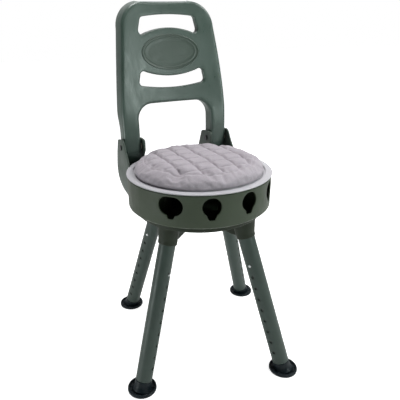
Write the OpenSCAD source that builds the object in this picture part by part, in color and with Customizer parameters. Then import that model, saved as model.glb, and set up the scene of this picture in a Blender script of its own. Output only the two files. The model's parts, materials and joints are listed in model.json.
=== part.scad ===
// Swivel seat on four telescopic legs, with a drum under the seat and a fold-down backrest.
// Origin: the swivel axis at floor level. The sitter faces -Y, +Z is up.

/* [Seat] */
// Outside diameter of the pale rim ring round the seat
ring_d = 383; // [380:1:384]
// Height of the top of the rim ring above the floor
seat_h = 534; // [532:1:536]
// Height of the drum under the rim ring
drum_h = 86; // [85.4:0.2:86.6]
// Rise of the cushion's crown above the rim ring
crown = 39; // [30:1:39]

/* [Backrest] */
// Height of the top edge of the backrest above the floor
back_top = 946; // [940:1:950]
// Width of the backrest at its legs
back_w = 315; // [313:1:315]
// Depth of the backrest at its top, from its front edge to its rear edge
back_depth = 46; // [42:1:48]
// Depth of the backrest at its legs
leg_depth = 38; // [36:1:40]
// How far the lower backrest is hollowed across its width
back_hollow = 14; // [8:1:18]

/* [Legs] */
// Outside diameter of the outer leg tube
leg_d = 44; // [43:0.5:45]
// Splay of each leg from the vertical, in degrees
splay = 19.2; // [18.8:0.1:19.6]
// How far the seat is turned from square to the legs, in degrees
seat_turn = 12.35; // [10:0.05:14]
// Distance between two height holes
hole_pitch = 32.2; // [31:0.1:32.5]
// Number of height holes in each outer tube
hole_count = 9; // [7:1:9]
// Diameter of each foot
foot_d = 76.6; // [74:0.2:78]

/* [Hidden] */
$fn = 96;

// Seat and drum
ring_r = ring_d / 2;
ring_in_r = ring_r - 25;
ring_h = 3.4;
drum_r = ring_r - 1.8;
drum_wall = 4;
drum_round = 5;
rebate = 2.6;
drum_top = seat_h - ring_h;
drum_bottom = drum_top - drum_h;
floor_t = 5;
raised_r = 120;
raised_floor = drum_bottom + 10.5;
board_t = 4;
board_z = drum_top - board_t + 0.2;
boss_r = 6;
boss_pos = 140;
boss_count = 6;
boss_turn = 30;
rib_count = 12;
rib_t = 4;
core_r = 57;
core_wall = 3;

// Keyholes in the front of the drum: angle from the front, and extra width
keyholes = [[-45, 17], [-15, 0], [15, 0], [45, 0]];
key_r = 23;
key_z = 500;
notch_w = 14;
notch_top = 15;
notch_drop = 9;

// Cushion: it stands in the rim ring and swells out over it
cushion_r = ring_r - 15.5;
cushion_foot = ring_in_r - 1;

// Base hub
hub_r = 170;
hub_top = drum_bottom - 3;
hub_t = 15.5;
hub_z = hub_top - hub_t;
hub_boss_r = 34;
hub_boss_z = hub_z - 41.5;
rib_w = 18;

// Legs: the leg axis crosses the level leg_z at radius leg_r0
leg_z = 446;
leg_r0 = 122.5;
leg_az = [315 - seat_turn, 45 - seat_turn, 135 - seat_turn, 225 - seat_turn];
tube_r = leg_d / 2;
tube_wall = 2.5;
tube_top = 31;
tube_end = 446;
socket_r = tube_r + 3;
socket_end = 76;
first_hole = 151;
hole_r = 4.25;
inner_r = tube_r - tube_wall - 0.4;
inner_wall = 2;
inner_top = 118;
inner_end = 459;
foot_r = foot_d / 2;
axis_floor = leg_z / cos(splay);
foot_pos = leg_r0 + axis_floor * sin(splay);

// Snap buttons: reach is measured from the leg axis
button_r = 4;
button_reach = tube_r + 2;
button_flange = 14;

// Swivel bearing and pivot
race_in = 56;
race_out = 104;
race_t = 2.5;
ball_r = 4;
ball_circle = 84;
ball_count = 20;
ball_z = hub_top + race_t + ball_r + 0.2;
race_screw_circle = 66;
bolt_r = 8;

// Backrest hinge
pin_y = 165;
pin_z = 572;
pin_r = 5;
cheek_in = 100.4;
cheek_out = 159.6;
cheek_t = 4.2;
back_r = back_w / 2;
back_in = 109;
bush_r = 8;
bush_flange = 2;

// Backrest surface
skin = 4.5;
corner_r = 66;
side_taper = 27.5;
corner_z = back_top - corner_r;
corner_x = back_r - side_taper - corner_r + 4.2;
leg_front = 150;
rear_flare = 4;
slot_rim_y = 184;
edge_round = 9;
badge_w = 84;
badge_h = 46;
badge_z = 819;

module at_leg(i) {
    rotate([0, 0, leg_az[i]]) translate([leg_r0, 0, leg_z]) rotate([0, -splay, 0]) children();
}

// A tube round the leg axis; distances run down the axis from the level leg_z
module axis_tube(r_out, r_in, from, to) {
    translate([0, 0, -to]) difference() {
        cylinder(r = r_out, h = to - from);
        translate([0, 0, -1]) cylinder(r = r_in, h = to - from + 2);
    }
}

module axis_rod(r, from, to) {
    translate([0, 0, -to]) cylinder(r = r, h = to - from);
}

// A round bar along X
module bar_x(r, from, to, y, z) {
    translate([from, y, z]) rotate([0, 90, 0]) cylinder(r = r, h = to - from);
}

// An outline of [y, z] points, extruded along X
module plate_x(points, from, to) {
    translate([from, 0, 0]) rotate([90, 0, 90]) linear_extrude(height = to - from) polygon(points);
}

// An outline drawn in x and z, extruded along Y
module plate_y(from, to) {
    translate([0, to, 0]) rotate([90, 0, 0]) linear_extrude(height = to - from) children();
}

module both_sides() {
    children();
    mirror([1, 0, 0]) children();
}

// ---- Base ----

// Leg socket: a sleeve round the tube, joined to a post that stands just inside the rim
post_pos = hub_r - socket_r - 0.8;
module socket(i) {
    at_leg(i) axis_rod(socket_r, 16, socket_end);
    rotate([0, 0, leg_az[i]]) {
        translate([post_pos, 0, leg_z - 64]) cylinder(r = socket_r, h = 52);
        rotate([90, 0, 0]) linear_extrude(height = 2 * socket_r - 3, center = true)
            polygon([[128, hub_z + 2], [post_pos, hub_z + 2], [post_pos, leg_z - 63]]);
    }
}

module hub_rib(i) {
    rotate([0, 0, leg_az[i]]) rotate([90, 0, 0]) linear_extrude(height = rib_w, center = true)
        polygon([[0, hub_z + 1], [138, hub_z + 1], [122, leg_z - 76], [91, leg_z - 69],
            [62, leg_z - 60], [0, leg_z - 58]]);
}

module base_hub() {
    color([0.27, 0.31, 0.27]) difference() {
        union() {
            translate([0, 0, hub_z]) cylinder(r = hub_r, h = hub_t);
            translate([0, 0, hub_boss_z]) cylinder(r = hub_boss_r, h = 50);
            for (i = [0:3]) {
                socket(i);
                hub_rib(i);
            }
        }
        for (i = [0:3]) at_leg(i) axis_rod(tube_r + 0.02, tube_top - 0.5, socket_end + 20);
        translate([0, 0, hub_boss_z - 30]) cylinder(r = bolt_r + 0.3, h = 120);
        for (a = [45:90:315]) rotate([0, 0, a]) translate([race_screw_circle, 0, hub_z - 2])
            cylinder(r = 2.5, h = 20);
    }
}

module leg_tube(i) {
    color([0.29, 0.33, 0.30]) at_leg(i) difference() {
        axis_tube(tube_r, tube_r - tube_wall, tube_top, tube_end);
        for (k = [0:hole_count - 1]) translate([0, 0, -first_hole - k * hole_pitch])
            rotate([90, 0, 0]) cylinder(r = hole_r, h = 3 * tube_r, center = true);
    }
}

module race(z, screw_r) {
    translate([0, 0, z]) difference() {
        cylinder(r = race_out, h = race_t);
        translate([0, 0, -1]) cylinder(r = race_in, h = race_t + 2);
        for (a = [45:90:315]) rotate([0, 0, a]) translate([race_screw_circle, 0, -1])
            cylinder(r = screw_r, h = race_t + 2);
    }
}

module bearing_lower_race() {
    color([0.62, 0.63, 0.64]) race(hub_top, 4.6);
}

module bearing_balls() {
    color([0.80, 0.80, 0.82]) for (k = [0:ball_count - 1]) rotate([0, 0, k * 360 / ball_count])
        translate([ball_circle, 0, ball_z]) sphere(r = ball_r);
}

module ball_cage() {
    color([0.85, 0.84, 0.78]) difference() {
        translate([0, 0, ball_z - 1]) cylinder(r = ball_circle + 8, h = 2);
        translate([0, 0, ball_z - 2]) cylinder(r = ball_circle - 8, h = 4);
        for (k = [0:ball_count - 1]) rotate([0, 0, k * 360 / ball_count])
            translate([ball_circle, 0, ball_z - 2]) cylinder(r = ball_r + 0.2, h = 4);
    }
}

// Four round-headed screws on the race's screw circle
module race_screws(head_z, tip_z) {
    color([0.55, 0.56, 0.57]) for (a = [45:90:315]) rotate([0, 0, a]) translate([race_screw_circle, 0, 0]) {
        translate([0, 0, head_z]) cylinder(r = 4.4, h = 2.3);
        translate([0, 0, tip_z]) cylinder(r = 2.4, h = head_z - tip_z + 0.5);
    }
}

module lower_race_screws() {
    race_screws(hub_top + 0.05, hub_z);
}

module pivot_bolt() {
    color([0.60, 0.61, 0.62]) {
        translate([0, 0, hub_boss_z - 10]) cylinder(r = 13.5, h = 10, $fn = 6);
        translate([0, 0, hub_boss_z - 1]) cylinder(r = bolt_r, h = raised_floor + 26 - hub_boss_z);
    }
}

module pivot_washer() {
    color([0.70, 0.71, 0.72]) translate([0, 0, raised_floor + 8]) difference() {
        cylinder(r = 18, h = 3);
        translate([0, 0, -1]) cylinder(r = bolt_r + 0.05, h = 5);
    }
}

module pivot_nut() {
    color([0.60, 0.61, 0.62]) translate([0, 0, raised_floor + 11.1]) difference() {
        cylinder(r = 13.5, h = 12, $fn = 6);
        translate([0, 0, -1]) cylinder(r = bolt_r + 0.02, h = 14);
    }
}

// ---- Seat ----

// Half section of the drum, with a rounded bottom edge
module drum_section() {
    difference() {
        union() {
            translate([raised_r - 4, drum_bottom]) square([drum_r - raised_r + 4 - drum_round, floor_t]);
            translate([drum_r - drum_round, drum_bottom + drum_round]) circle(r = drum_round);
            translate([drum_r - drum_wall, drum_bottom + drum_round])
                square([drum_wall, drum_h - drum_round - rebate]);
            translate([drum_r - drum_wall, drum_top - rebate - 1]) square([drum_wall - 1.6, rebate + 1]);
            translate([raised_r - 4, drum_bottom]) square([4, raised_floor + floor_t - drum_bottom]);
            translate([12.05, raised_floor]) square([raised_r - 14, floor_t]);
        }
        translate([drum_r - drum_wall - 20, drum_bottom + floor_t]) square([20, drum_h]);
    }
}

// A hole through the drum wall at an angle from the front, with a notch under it
module keyhole(angle, extra) {
    rotate([0, 0, angle]) translate([0, -drum_r + 20, key_z]) rotate([90, 0, 0]) {
        translate([-extra / 2, 0, 0]) cylinder(r = key_r, h = 40);
        translate([extra / 2, 0, 0]) cylinder(r = key_r, h = 40);
        translate([-extra / 2, -key_r, 0]) cube([extra + 0.001, 2 * key_r, 40]);
        linear_extrude(height = 40) polygon([[-notch_top, -key_r * 0.62],
            [-notch_w / 2, -key_r - notch_drop], [notch_w / 2, -key_r - notch_drop],
            [notch_top, -key_r * 0.62]]);
    }
}

// Side plates of the hinge brackets, as outlines of [y, z] points: their shared rear edge, then each front
cheek_rear = [[196, 590], [201, 586], [204, 578], [217, 549], [227, 513], [229, 497], [224, 478],
    [209, 462], [190, 453], [170, 447], [120, 442]];
outer_cheek = concat([[99, 542], [110, 552], [126.5, 572], [138, 590], [143, 595], [152, 598]], cheek_rear,
    [[92, 442]]);
inner_cheek = concat([[151, 520], [151, 546], [136, 564], [136, 588], [141, 594], [164, 595]], cheek_rear,
    [[118, 442], [140, 520]]);
cheek_web = [[224.5, 504], [228.3, 504], [229, 497], [224, 478], [209, 462], [190, 453], [170, 447],
    [120, 442], [60, 442], [60, 446.5], [120, 446.5], [168.5, 451.5], [187.5, 457.5], [205, 466], [219.5, 480],
    [224.5, 498]];

module bracket_pair() {
    both_sides() difference() {
        union() {
            plate_x(outer_cheek, cheek_out, cheek_out + cheek_t);
            plate_x(inner_cheek, cheek_in, cheek_in + cheek_t);
            plate_x(cheek_web, cheek_in + 1, cheek_out + cheek_t - 0.5);
        }
        translate([0, 0, drum_bottom - 20]) cylinder(r = drum_r - 2, h = drum_h + 20);
        translate([0, 0, drum_top - 4]) cylinder(r = ring_r + 0.5, h = ring_h + 4.5);
        bar_x(pin_r + 0.02, 90, 180, pin_y, pin_z);
    }
}

module seat_drum() {
    color([0.29, 0.34, 0.29]) {
        difference() {
            union() {
                rotate_extrude() drum_section();
                for (k = [0:rib_count - 1]) rotate([0, 0, k * 360 / rib_count])
                    translate([raised_r - 1, -rib_t / 2, drum_bottom + floor_t - 1])
                        cube([drum_r - raised_r - 2, rib_t, board_z - drum_bottom - floor_t + 1]);
                for (k = [0:boss_count - 1]) rotate([0, 0, boss_turn + k * 360 / boss_count])
                    translate([boss_pos, 0, drum_bottom + 2])
                        cylinder(r = boss_r, h = board_z - drum_bottom - 2);
                bracket_pair();
                translate([0, 0, raised_floor + 1]) difference() {
                    cylinder(r = core_r, h = board_z - raised_floor - 1);
                    translate([0, 0, -1]) cylinder(r = core_r - core_wall, h = drum_h);
                }
            }
            for (k = [0:boss_count - 1]) rotate([0, 0, boss_turn + k * 360 / boss_count])
                translate([boss_pos, 0, board_z - 30]) cylinder(r = 2.5, h = 31);
            for (h = keyholes) keyhole(h[0], h[1]);
            for (a = [45:90:315]) rotate([0, 0, a]) translate([race_screw_circle, 0, raised_floor - 1])
                cylinder(r = 2.6, h = floor_t + 2);
        }
    }
}

module bearing_upper_race() {
    color([0.62, 0.63, 0.64]) race(raised_floor - race_t, 2.45);
}

module upper_race_screws() {
    race_screws(raised_floor + floor_t, raised_floor - race_t);
}

module pivot_bush() {
    color([0.88, 0.87, 0.80]) translate([0, 0, raised_floor - 4]) difference() {
        union() {
            cylinder(r = 12, h = 9.5);
            translate([0, 0, 9.05]) cylinder(r = 16, h = 2.5);
        }
        translate([0, 0, -1]) cylinder(r = bolt_r + 0.06, h = 14);
    }
}

module seat_board() {
    color([0.20, 0.20, 0.20]) difference() {
        translate([0, 0, board_z]) cylinder(r = drum_r - drum_wall - 0.4, h = board_t);
        for (k = [0:boss_count - 1]) rotate([0, 0, boss_turn + k * 360 / boss_count])
            translate([boss_pos, 0, board_z - 1]) {
                cylinder(r = 2.6, h = 4);
                translate([0, 0, 3]) cylinder(r = 5, h = 4);
            }
    }
}

module board_screws() {
    color([0.55, 0.56, 0.57]) for (k = [0:boss_count - 1]) rotate([0, 0, boss_turn + k * 360 / boss_count])
        translate([boss_pos, 0, board_z]) {
            translate([0, 0, -20]) cylinder(r = 2.4, h = 22.5);
            translate([0, 0, 2]) cylinder(r = 4.8, h = 1.9);
        }
}

// Half section of the rim ring: a flat bar with round edges
rim_round = (ring_h - 0.3) / 2;
module rim_section() {
    translate([ring_in_r + rim_round, seat_h - 2 * rim_round])
        square([ring_r - ring_in_r - 2 * rim_round, 2 * rim_round]);
    for (r = [ring_in_r + rim_round, ring_r - rim_round])
        translate([r, seat_h - rim_round]) circle(r = rim_round);
}

module rim_ring() {
    color([0.78, 0.78, 0.80]) rotate_extrude() rim_section();
}

module seat_cushion() {
    color([0.74, 0.72, 0.75]) rotate_extrude() polygon([[0, drum_top + 0.5], [cushion_foot, drum_top + 0.5],
        [cushion_foot, seat_h + 0.6], [cushion_r - 3, seat_h + 0.8], [cushion_r, seat_h + 5],
        [cushion_r - 1, seat_h + 12], [cushion_r - 6, seat_h + 20], [cushion_r - 18, seat_h + 28],
        [cushion_r - 40, seat_h + crown - 5], [cushion_r - 80, seat_h + crown - 1.5], [0, seat_h + crown]]);
}

module hinge_pins() {
    color([0.16, 0.17, 0.17]) both_sides() {
        bar_x(8, cheek_in - 3, cheek_in, pin_y, pin_z);
        bar_x(pin_r, cheek_in - 1, cheek_out + cheek_t + 2, pin_y, pin_z);
    }
}

module pin_caps() {
    color([0.16, 0.17, 0.17]) both_sides() difference() {
        bar_x(7.5, cheek_out + cheek_t, cheek_out + cheek_t + 3, pin_y, pin_z);
        bar_x(pin_r + 0.02, cheek_out, cheek_out + cheek_t + 2.05, pin_y, pin_z);
    }
}

// ---- Backrest ----

function clamp01(t) = min(1, max(0, t));
function ease(t) = clamp01(t) * clamp01(t) * (3 - 2 * clamp01(t));
// Front edge of the backrest: upright at its legs, then leaning back
function edge_y(z) = leg_front + 56 * pow(clamp01((z - 600) / (back_top - 600)), 1.75);
// Half width of the backrest at a height, and of its inside when it is inset
function half_w(z, inset) =
    z <= corner_z ? back_r - inset - side_taper * pow(clamp01((z - 660) / 250), 1.3)
    : corner_x + sqrt(max(0, pow(corner_r - inset, 2) - pow(min(z, back_top - inset) - corner_z, 2)));
// Depth of the sides, which grows from the legs to the top
function depth_at(z) = leg_depth + (back_depth - leg_depth) * clamp01((z - 640) / 280);
// Front face of the backrest across its width, hollowed between its edges
function hollow(z) = back_hollow * ease((z - 620) / 90) * (1 - 0.4 * clamp01((z - 720) / 200));
function face_y(x, z) = edge_y(z) + hollow(z) * (1 - pow(min(1, abs(x) / half_w(z, 0)), 2));

// One level of the backrest body: across the front face, then back along the rear edge.
// The sides flare towards the rear, except between the hinge brackets.
face_steps = 12;
function level(z, inset, front, rear) =
    let (w = half_w(z, inset), e = edge_round, rear_w = w + rear_flare * ease((z - 610) / 60))
    concat(
        [[-rear_w, edge_y(z) + rear, z], [-w, edge_y(z) + e + front, z],
            [-w + 0.3 * e, edge_y(z) + 0.3 * e + front, z]],
        [for (k = [0:face_steps]) let (x = (w - e) * (2 * k / face_steps - 1)) [x, face_y(x, z) + front, z]],
        [[w - 0.3 * e, edge_y(z) + 0.3 * e + front, z], [w, edge_y(z) + e + front, z],
            [rear_w, edge_y(z) + rear, z]]);

// A closed body through levels with the same number of points
module stack(levels) {
    n = len(levels[0]);
    m = len(levels);
    polyhedron(
        points = [for (l = levels) for (p = l) p],
        faces = concat(
            [[for (k = [0:n - 1]) k]],
            [for (j = [0:m - 2]) for (k = [0:n - 1])
                [j * n + k, (j + 1) * n + k, (j + 1) * n + (k + 1) % n]],
            [for (j = [0:m - 2]) for (k = [0:n - 1])
                [j * n + k, (j + 1) * n + (k + 1) % n, j * n + (k + 1) % n]],
            [[for (k = [0:n - 1]) m * n - 1 - k]]),
        convexity = 8);
}

body_levels = concat([for (z = [pin_z:30:corner_z]) z],
    [for (a = [0:15:75]) corner_z + corner_r * sin(a)], [back_top]);
cavity_levels = concat([for (z = [pin_z - 30:30:corner_z]) z],
    [for (a = [0:15:75]) corner_z + (corner_r - 5) * sin(a)], [back_top - 5]);

// The large opening between the backrest's legs
module opening(grow) {
    w = back_in + grow;
    top = 686 + grow;
    r = 42 + grow;
    translate([-w, 480]) square([2 * w, top - r - 480]);
    translate([-w + r, 480]) square([2 * (w - r), top - 480]);
    translate([-w + r, top - r]) circle(r = r);
    translate([w - r, top - r]) circle(r = r);
}

function arc_points(x, z, r, from, to) =
    [for (k = [0:6]) let (a = from + (to - from) * k / 6) [x + r * cos(a), z + r * sin(a)]];

// A slot with curved long edges. Each edge is [height at the middle, rise out to its corners, x and z of the
// corner's centre, angle where the corner meets the edge]; side is the lean of the short edges.
module slot(low, high, side, grow) {
    r = 10 + grow;
    half = concat(
        [for (k = [1:5]) let (t = k / 6) [t * low[2], low[0] + low[1] * t * t - grow]],
        arc_points(low[2], low[3], r, low[4], side), arc_points(high[2], high[3], r, side + 4, high[4]),
        [for (k = [5:-1:1]) let (t = k / 6) [t * high[2], high[0] + high[1] * t * t + grow]]);
    polygon(concat([[0, low[0] - grow]], half, [[0, high[0] + grow]],
        [for (k = [len(half) - 1:-1:0]) [-half[k][0], half[k][1]]]));
}

// Hand slot near the top, its lower edge arched up
module upper_slot(grow) {
    slot([881, -15.5, 76.5, 875.5, -112], [914, -4.3, 69.5, 899.7, 83], 16, grow);
}

// Lower slot, its edges curved down
module lower_slot(grow) {
    slot([726.4, 8.1, 87, 744.5, -79], [757, 15.4, 83, 762.6, 110], 12.5, grow);
}

// Foot of a backrest leg: it turns on the pin, and its heel stops on the drum
heel = [[leg_front, pin_z], [151, 549], [157.9, 537], [157.9, 527], [164, 521], [174, 521], [181, 528],
    [leg_front + leg_depth, pin_z], [leg_front + leg_depth - 1, 600], [leg_front + 2, 600]];

module back_shell() {
    color([0.33, 0.38, 0.34]) difference() {
        union() {
            difference() {
                stack([for (z = body_levels) level(z, 0, 0, depth_at(z))]);
                difference() {
                    stack([for (z = cavity_levels) level(z, 5, skin, back_depth + 30)]);
                    plate_y(100, 300) opening(5);
                    plate_y(100, 215) upper_slot(4);
                    plate_y(100, slot_rim_y) lower_slot(4);
                }
            }
            both_sides() plate_x(heel, back_in, back_r);
        }
        plate_y(60, 320) difference() {
            opening(0);
            translate([-300, 300]) square([600, 200]);
        }
        plate_y(60, 320) upper_slot(0);
        plate_y(60, 320) lower_slot(0);
        both_sides() bar_x(bush_r + 0.02, back_in - 5, back_r + 20, pin_y, pin_z);
    }
}

// Plain oval plate on the front of the backrest
module back_badge() {
    color([0.36, 0.41, 0.37]) intersection() {
        plate_y(150, 230) translate([0, badge_z])
            polygon([for (a = [0:7.5:352.5]) [badge_w * cos(a), badge_h * sin(a)]]);
        stack([for (z = [badge_z - 60:15:badge_z + 60]) concat(
            [for (k = [0:face_steps]) let (x = 100 * (2 * k / face_steps - 1)) [x, face_y(x, z) - 2.2, z]],
            [for (k = [0:face_steps]) let (x = 100 * (1 - 2 * k / face_steps)) [x, face_y(x, z) - 0.3, z]])]);
    }
}

module hinge_bushes() {
    color([0.85, 0.84, 0.78]) both_sides() difference() {
        union() {
            bar_x(bush_r, back_in - 1, back_in + 12, pin_y, pin_z);
            bar_x(bush_r + 3, back_in - bush_flange, back_in - 0.02, pin_y, pin_z);
            bar_x(bush_r, back_r - 12, back_r + 1, pin_y, pin_z);
            bar_x(bush_r + 3, back_r + 0.02, cheek_out - 0.5, pin_y, pin_z);
        }
        bar_x(pin_r + 0.05, back_in - 10, back_r + 10, pin_y, pin_z);
    }
}

// ---- Legs ----

module inner_tube(i) {
    color([0.27, 0.30, 0.28]) at_leg(i) difference() {
        axis_tube(inner_r, inner_r - inner_wall, inner_top, inner_end);
        translate([0, 0, -first_hole]) rotate([90, 0, 0])
            cylinder(r = button_r + 0.25, h = 3 * tube_r, center = true);
    }
}

// A dished foot, flat on the floor, with a socket that is square to the leg
module foot(i) {
    color([0.12, 0.14, 0.14]) {
        rotate([0, 0, leg_az[i]]) translate([foot_pos, 0, 0]) rotate_extrude() {
            square([foot_r - 3, 4]);
            translate([foot_r - 6, 0]) square([6, 5.5]);
            translate([foot_r - 3, 5.5]) circle(r = 3);
        }
        difference() {
            at_leg(i) axis_rod(tube_r, tube_end + 0.5, axis_floor + 10);
            at_leg(i) axis_rod(inner_r + 0.02, tube_end - 10, inner_end + 0.1);
            rotate([0, 0, leg_az[i]]) translate([foot_pos - 60, -60, -60]) cube([120, 120, 61]);
        }
    }
}

// Leaf spring folded over at its top, with one arm behind each button
module button_spring(i) {
    color([0.66, 0.67, 0.68]) at_leg(i) translate([-4, 0, -first_hole]) {
        translate([0, -13.6, -8]) cube([8, 0.8, 24]);
        translate([0, 12.8, -8]) cube([8, 0.8, 24]);
        translate([0, -13.6, 15.2]) cube([8, 27.2, 0.8]);
    }
}

module snap_button(i, side) {
    color([0.72, 0.74, 0.74]) at_leg(i) translate([0, 0, -first_hole]) rotate([side * -90, 0, 0])
        rotate_extrude() polygon([[0, button_flange], [6, button_flange], [6, button_flange + 1.5],
            [button_r, button_flange + 1.5], [button_r, button_reach - 1.5],
            [button_r - 0.6, button_reach - 0.6], [button_r - 1.6, button_reach - 0.2], [0, button_reach]]);
}

base_hub();
leg_tube(0);  // leg_tube_1
leg_tube(1);  // leg_tube_2
leg_tube(2);  // leg_tube_3
leg_tube(3);  // leg_tube_4
bearing_lower_race();
bearing_balls();
ball_cage();
lower_race_screws();
pivot_bolt();
pivot_washer();
pivot_nut();
seat_drum();
bearing_upper_race();
upper_race_screws();
pivot_bush();
seat_board();
board_screws();
rim_ring();
seat_cushion();
hinge_pins();
pin_caps();
back_shell();
back_badge();
hinge_bushes();
inner_tube(0);  // inner_tube_1
inner_tube(1);  // inner_tube_2
inner_tube(2);  // inner_tube_3
inner_tube(3);  // inner_tube_4
foot(0);  // foot_1
foot(1);  // foot_2
foot(2);  // foot_3
foot(3);  // foot_4
button_spring(0);  // button_spring_1
button_spring(1);  // button_spring_2
button_spring(2);  // button_spring_3
button_spring(3);  // button_spring_4
snap_button(0, 1);  // snap_button_1a
snap_button(0, -1);  // snap_button_1b
snap_button(1, 1);  // snap_button_2a
snap_button(1, -1);  // snap_button_2b
snap_button(2, 1);  // snap_button_3a
snap_button(2, -1);  // snap_button_3b
snap_button(3, 1);  // snap_button_4a
snap_button(3, -1);  // snap_button_4b
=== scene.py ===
"""Looks of a swivel seat on four telescopic legs.

Everything is in metres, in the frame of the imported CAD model: origin on the swivel axis at floor
level, +Z up, the sitter faces -Y. Lengths written with MM are millimetres.
"""

import json
import math

import bmesh
import bpy
import numpy as np
from mathutils import Matrix, Vector, noise
from mathutils.geometry import delaunay_2d_cdt


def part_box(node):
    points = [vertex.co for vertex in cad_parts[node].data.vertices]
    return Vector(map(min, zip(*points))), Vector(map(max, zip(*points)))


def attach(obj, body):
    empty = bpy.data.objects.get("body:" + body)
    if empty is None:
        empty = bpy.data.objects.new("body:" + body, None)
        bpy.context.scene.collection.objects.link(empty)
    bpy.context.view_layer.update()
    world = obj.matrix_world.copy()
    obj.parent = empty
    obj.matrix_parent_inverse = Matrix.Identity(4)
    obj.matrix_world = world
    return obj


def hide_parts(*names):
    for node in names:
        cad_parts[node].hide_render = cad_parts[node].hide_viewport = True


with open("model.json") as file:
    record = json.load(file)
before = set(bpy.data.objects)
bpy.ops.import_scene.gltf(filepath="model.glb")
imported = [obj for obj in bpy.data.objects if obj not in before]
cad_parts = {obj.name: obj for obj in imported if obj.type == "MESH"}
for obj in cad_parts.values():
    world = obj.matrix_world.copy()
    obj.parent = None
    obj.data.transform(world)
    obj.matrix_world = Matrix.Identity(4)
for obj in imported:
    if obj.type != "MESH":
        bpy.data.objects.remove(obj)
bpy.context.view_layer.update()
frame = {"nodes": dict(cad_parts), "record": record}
MM = 0.001

# ---------------------------------------------------------------- camera, floor and light

CAMERA_PLACE = (-0.4563, -1.0012, 0.8811)
CAMERA_HEADING = math.radians(21.04)   # from +Y towards +X
CAMERA_DOWN = math.radians(23.28)
CAMERA_ROLL = 0.0259
CAMERA_LENS = 38.88                    # millimetres, on a 36 mm sensor
CAMERA_SHIFT = (0.0634, 0.0328)


def add_camera():
    """The camera at the photo's viewing angle, from its named heading, tilt, roll, lens and shift."""
    heading, down, roll = CAMERA_HEADING, CAMERA_DOWN, CAMERA_ROLL
    forward = Vector((math.sin(heading) * math.cos(down), math.cos(heading) * math.cos(down),
                      -math.sin(down)))
    right = Vector((math.cos(heading), -math.sin(heading), 0))
    up = right.cross(forward)
    right, up = (right * math.cos(roll) - up * math.sin(roll), right * math.sin(roll) + up * math.cos(roll))
    data = bpy.data.cameras.new("camera")
    data.lens = CAMERA_LENS
    data.shift_x, data.shift_y = CAMERA_SHIFT
    data.clip_end = 50
    camera = bpy.data.objects.new("camera", data)
    camera.matrix_world = Matrix((right, up, -forward)).transposed().to_4x4()
    camera.location = CAMERA_PLACE
    bpy.context.scene.collection.objects.link(camera)
    bpy.context.scene.camera = camera


def add_area(name, place, target, size, power, colour=(1, 1, 1)):
    """A soft rectangular lamp aimed at a target."""
    data = bpy.data.lights.new(name, "AREA")
    data.shape = "RECTANGLE"
    data.size, data.size_y = size
    data.energy = power
    data.color = colour
    light = bpy.data.objects.new(name, data)
    light.location = place
    light.rotation_euler = (Vector(target) - Vector(place)).to_track_quat("-Z", "Y").to_euler()
    bpy.context.scene.collection.objects.link(light)


def white_backdrop(tree, light, strength, seen):
    """A surround that gives the object one amount of light and is itself seen as plain white."""
    brighter = tree.nodes.new("ShaderNodeMix")
    brighter.data_type = "FLOAT"
    tree.links.new(tree.nodes.new("ShaderNodeLightPath").outputs["Is Camera Ray"], brighter.inputs["Factor"])
    if isinstance(light, float):
        brighter.inputs["A"].default_value = light
    else:
        tree.links.new(light, brighter.inputs["A"])
    brighter.inputs["B"].default_value = seen
    tree.links.new(brighter.outputs["Result"], strength)


def add_ramp(tree, value, low, high, strengths):
    """A soft change between two strengths as a value goes from low to high."""
    ramp = tree.nodes.new("ShaderNodeMapRange")
    ramp.interpolation_type = "SMOOTHSTEP"
    for key, number in zip(("From Min", "From Max", "To Min", "To Max"), (low, high, *strengths)):
        ramp.inputs[key].default_value = number
    tree.links.new(value, ramp.inputs["Value"])
    return ramp.outputs[0]


def add_studio():
    """A surround that lights the object mostly from behind and the right, and four soft lamps."""
    scene = bpy.context.scene
    scene.view_settings.view_transform = "Standard"
    world = bpy.data.worlds.new("studio")
    world.use_nodes = True
    tree = world.node_tree
    place = tree.nodes.new("ShaderNodeTexCoord").outputs["Generated"]
    parts = tree.nodes.new("ShaderNodeSeparateXYZ")
    tree.links.new(place, parts.inputs[0])
    both = tree.nodes.new("ShaderNodeMath")
    both.operation = "MULTIPLY"
    tree.links.new(add_ramp(tree, parts.outputs["Y"], 0.0, 0.6, (0.11, 0.8)), both.inputs[0])
    tree.links.new(add_ramp(tree, parts.outputs["X"], -0.45, 0.1, (0.3, 1.0)), both.inputs[1])
    white_backdrop(tree, both.outputs[0], tree.nodes["Background"].inputs["Strength"], 1.0)
    tree.nodes["Background"].inputs["Color"].default_value = (1, 1, 1, 1)
    scene.world = world
    middle = (0, 0, 0.5)
    add_area("key", (1.9, -0.7, 2.9), middle, (0.7, 0.7), 38)
    add_area("sheen", (1.35, -1.95, 1.2), (0, 0.1, 0.8), (0.5, 1.1), 20, (0.88, 1, 0.96))
    add_area("top", (0.1, 0.5, 3.0), middle, (1.0, 1.0), 44)
    add_area("left", (-2.1, -0.2, 0.3), (0, 0.1, 0.4), (0.5, 0.5), 11, (0.92, 1, 0.98))


def add_floor():
    """A plain pale floor, wide enough for every view."""
    mesh = bpy.data.meshes.new("floor")
    half = 14.0
    corners = [(-half, -half, 0), (half, -half, 0), (half, half, 0), (-half, half, 0)]
    mesh.from_pydata(corners, [], [(0, 1, 2, 3)])
    floor = bpy.data.objects.new("floor", mesh)
    bpy.context.scene.collection.objects.link(floor)
    material = bpy.data.materials.new("pale_floor")
    material.use_nodes = True
    shader = material.node_tree.nodes["Principled BSDF"]
    shader.inputs["Base Color"].default_value = (0.9, 0.9, 0.9, 1)
    shader.inputs["Emission Color"].default_value = (1, 1, 1, 1)
    white_backdrop(material.node_tree, 0.2, shader.inputs["Emission Strength"], 0.8)
    shader.inputs["Roughness"].default_value = 0.9
    mesh.materials.append(material)


add_camera()
add_studio()
add_floor()

# ---------------------------------------------------------------- materials


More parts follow.
